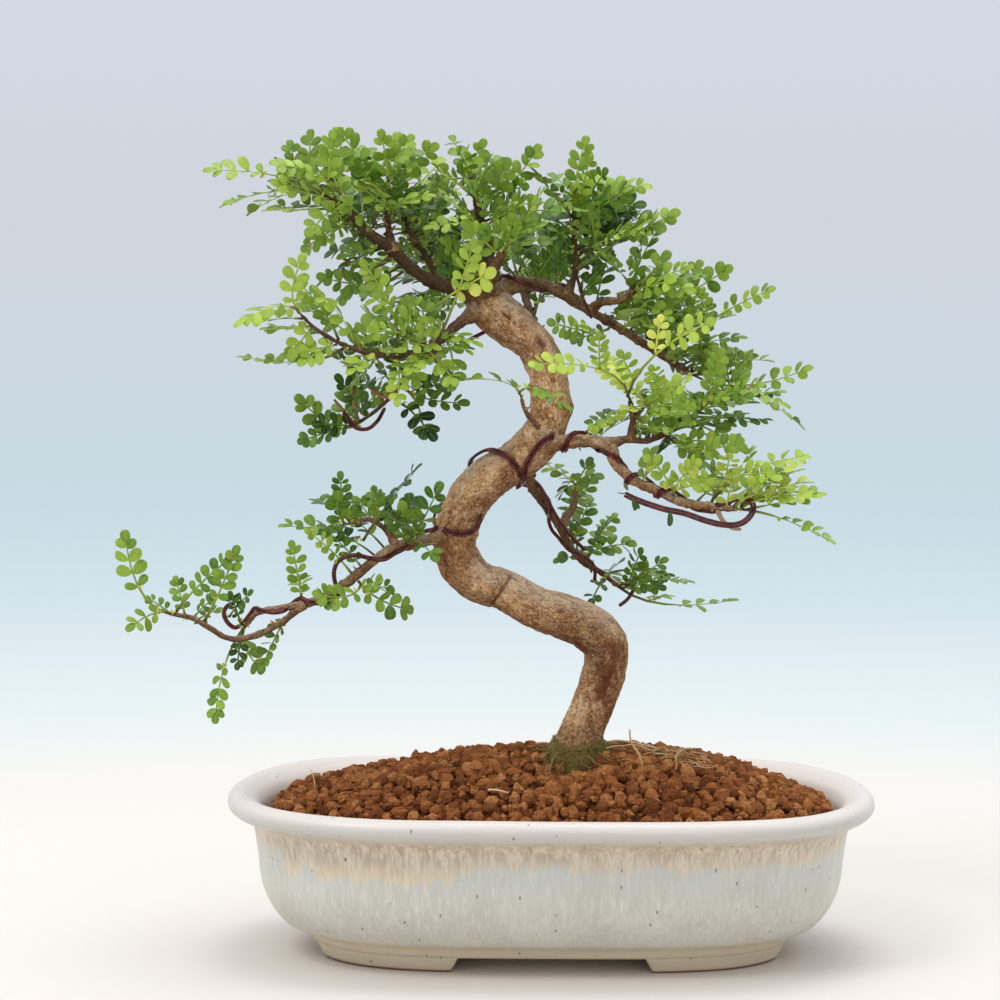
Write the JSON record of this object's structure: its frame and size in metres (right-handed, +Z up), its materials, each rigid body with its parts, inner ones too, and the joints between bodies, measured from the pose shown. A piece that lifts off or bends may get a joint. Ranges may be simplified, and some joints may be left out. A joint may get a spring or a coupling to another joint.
{
  "type": "japanese pepper bonsai",
  "caption": "Japanese pepper bonsai: S-curved trunk with wired branches and fine pinnate leaves, planted in granular soil in a long oval glazed pot with a flared rim and low feet.",
  "frame": {"origin": "middle of the whole tree and pot in plan, on the surface the pot's feet stand on", "axes": "+Z up the tree, +X along the pot's length to the viewer's right, +Y towards the back"},
  "size_m": [0.4174, 0.24, 0.4566],
  "materials": {
    "glaze": "satin celadon grey glaze with cream runs below the lip",
    "soil": "fired-looking clay grains, dry and matt",
    "bark": "rough tan bark",
    "leaf": "soft waxy green leaf",
    "wire": "dark maroon anodised",
    "screen": "dark mesh"
  },
  "bodies": {
    "root": {"drain_screen_left": "screen", "drain_screen_right": "screen", "pot": "glaze", "soil": "soil", "spray_back_crown_end": "leaf", "spray_back_crown_side": "leaf", "spray_back_end": "leaf", "spray_back_left_end": "leaf", "spray_back_left_side": "leaf", "spray_back_mid": "leaf", "spray_back_twig_end": "leaf", "spray_crown_left_back": "leaf", "spray_crown_left_end": "leaf", "spray_crown_left_low": "leaf", "spray_crown_left_top": "leaf", "spray_crown_left_under": "leaf", "spray_crown_right_end": "leaf", "spray_crown_right_front": "leaf", "spray_crown_right_out": "leaf", "spray_crown_right_up": "leaf", "spray_hook_end": "leaf", "spray_hook_side": "leaf", "spray_leader_front": "leaf", "spray_leader_right": "leaf", "spray_leader_top": "leaf", "spray_left_end": "leaf", "spray_left_front": "leaf", "spray_left_inner": "leaf", "spray_left_out": "leaf", "spray_low_end": "leaf", "spray_low_mid": "leaf", "spray_low_over": "leaf", "spray_low_under": "leaf", "spray_low_up_end": "leaf", "spray_right_end": "leaf", "spray_right_low": "leaf", "spray_right_over": "leaf", "spray_right_up_end": "leaf", "spray_right_up_mid": "leaf", "spray_right_up_over": "leaf", "spray_riser_a_front": "leaf", "spray_riser_a_top": "leaf", "spray_riser_b_top": "leaf", "spray_riser_r_side": "leaf", "spray_riser_r_top": "leaf", "spray_spike_shoot": "leaf", "spray_stub_end": "leaf", "spray_tip_end": "leaf", "spray_tip_up": "leaf", "spray_trunk_twig_end": "leaf", "spray_twig_end": "leaf", "spray_twig_side": "leaf", "tree": "bark", "wire_back": "wire", "wire_crown": "wire", "wire_low_left": "wire", "wire_right": "wire"}
  },
  "joints": []
}
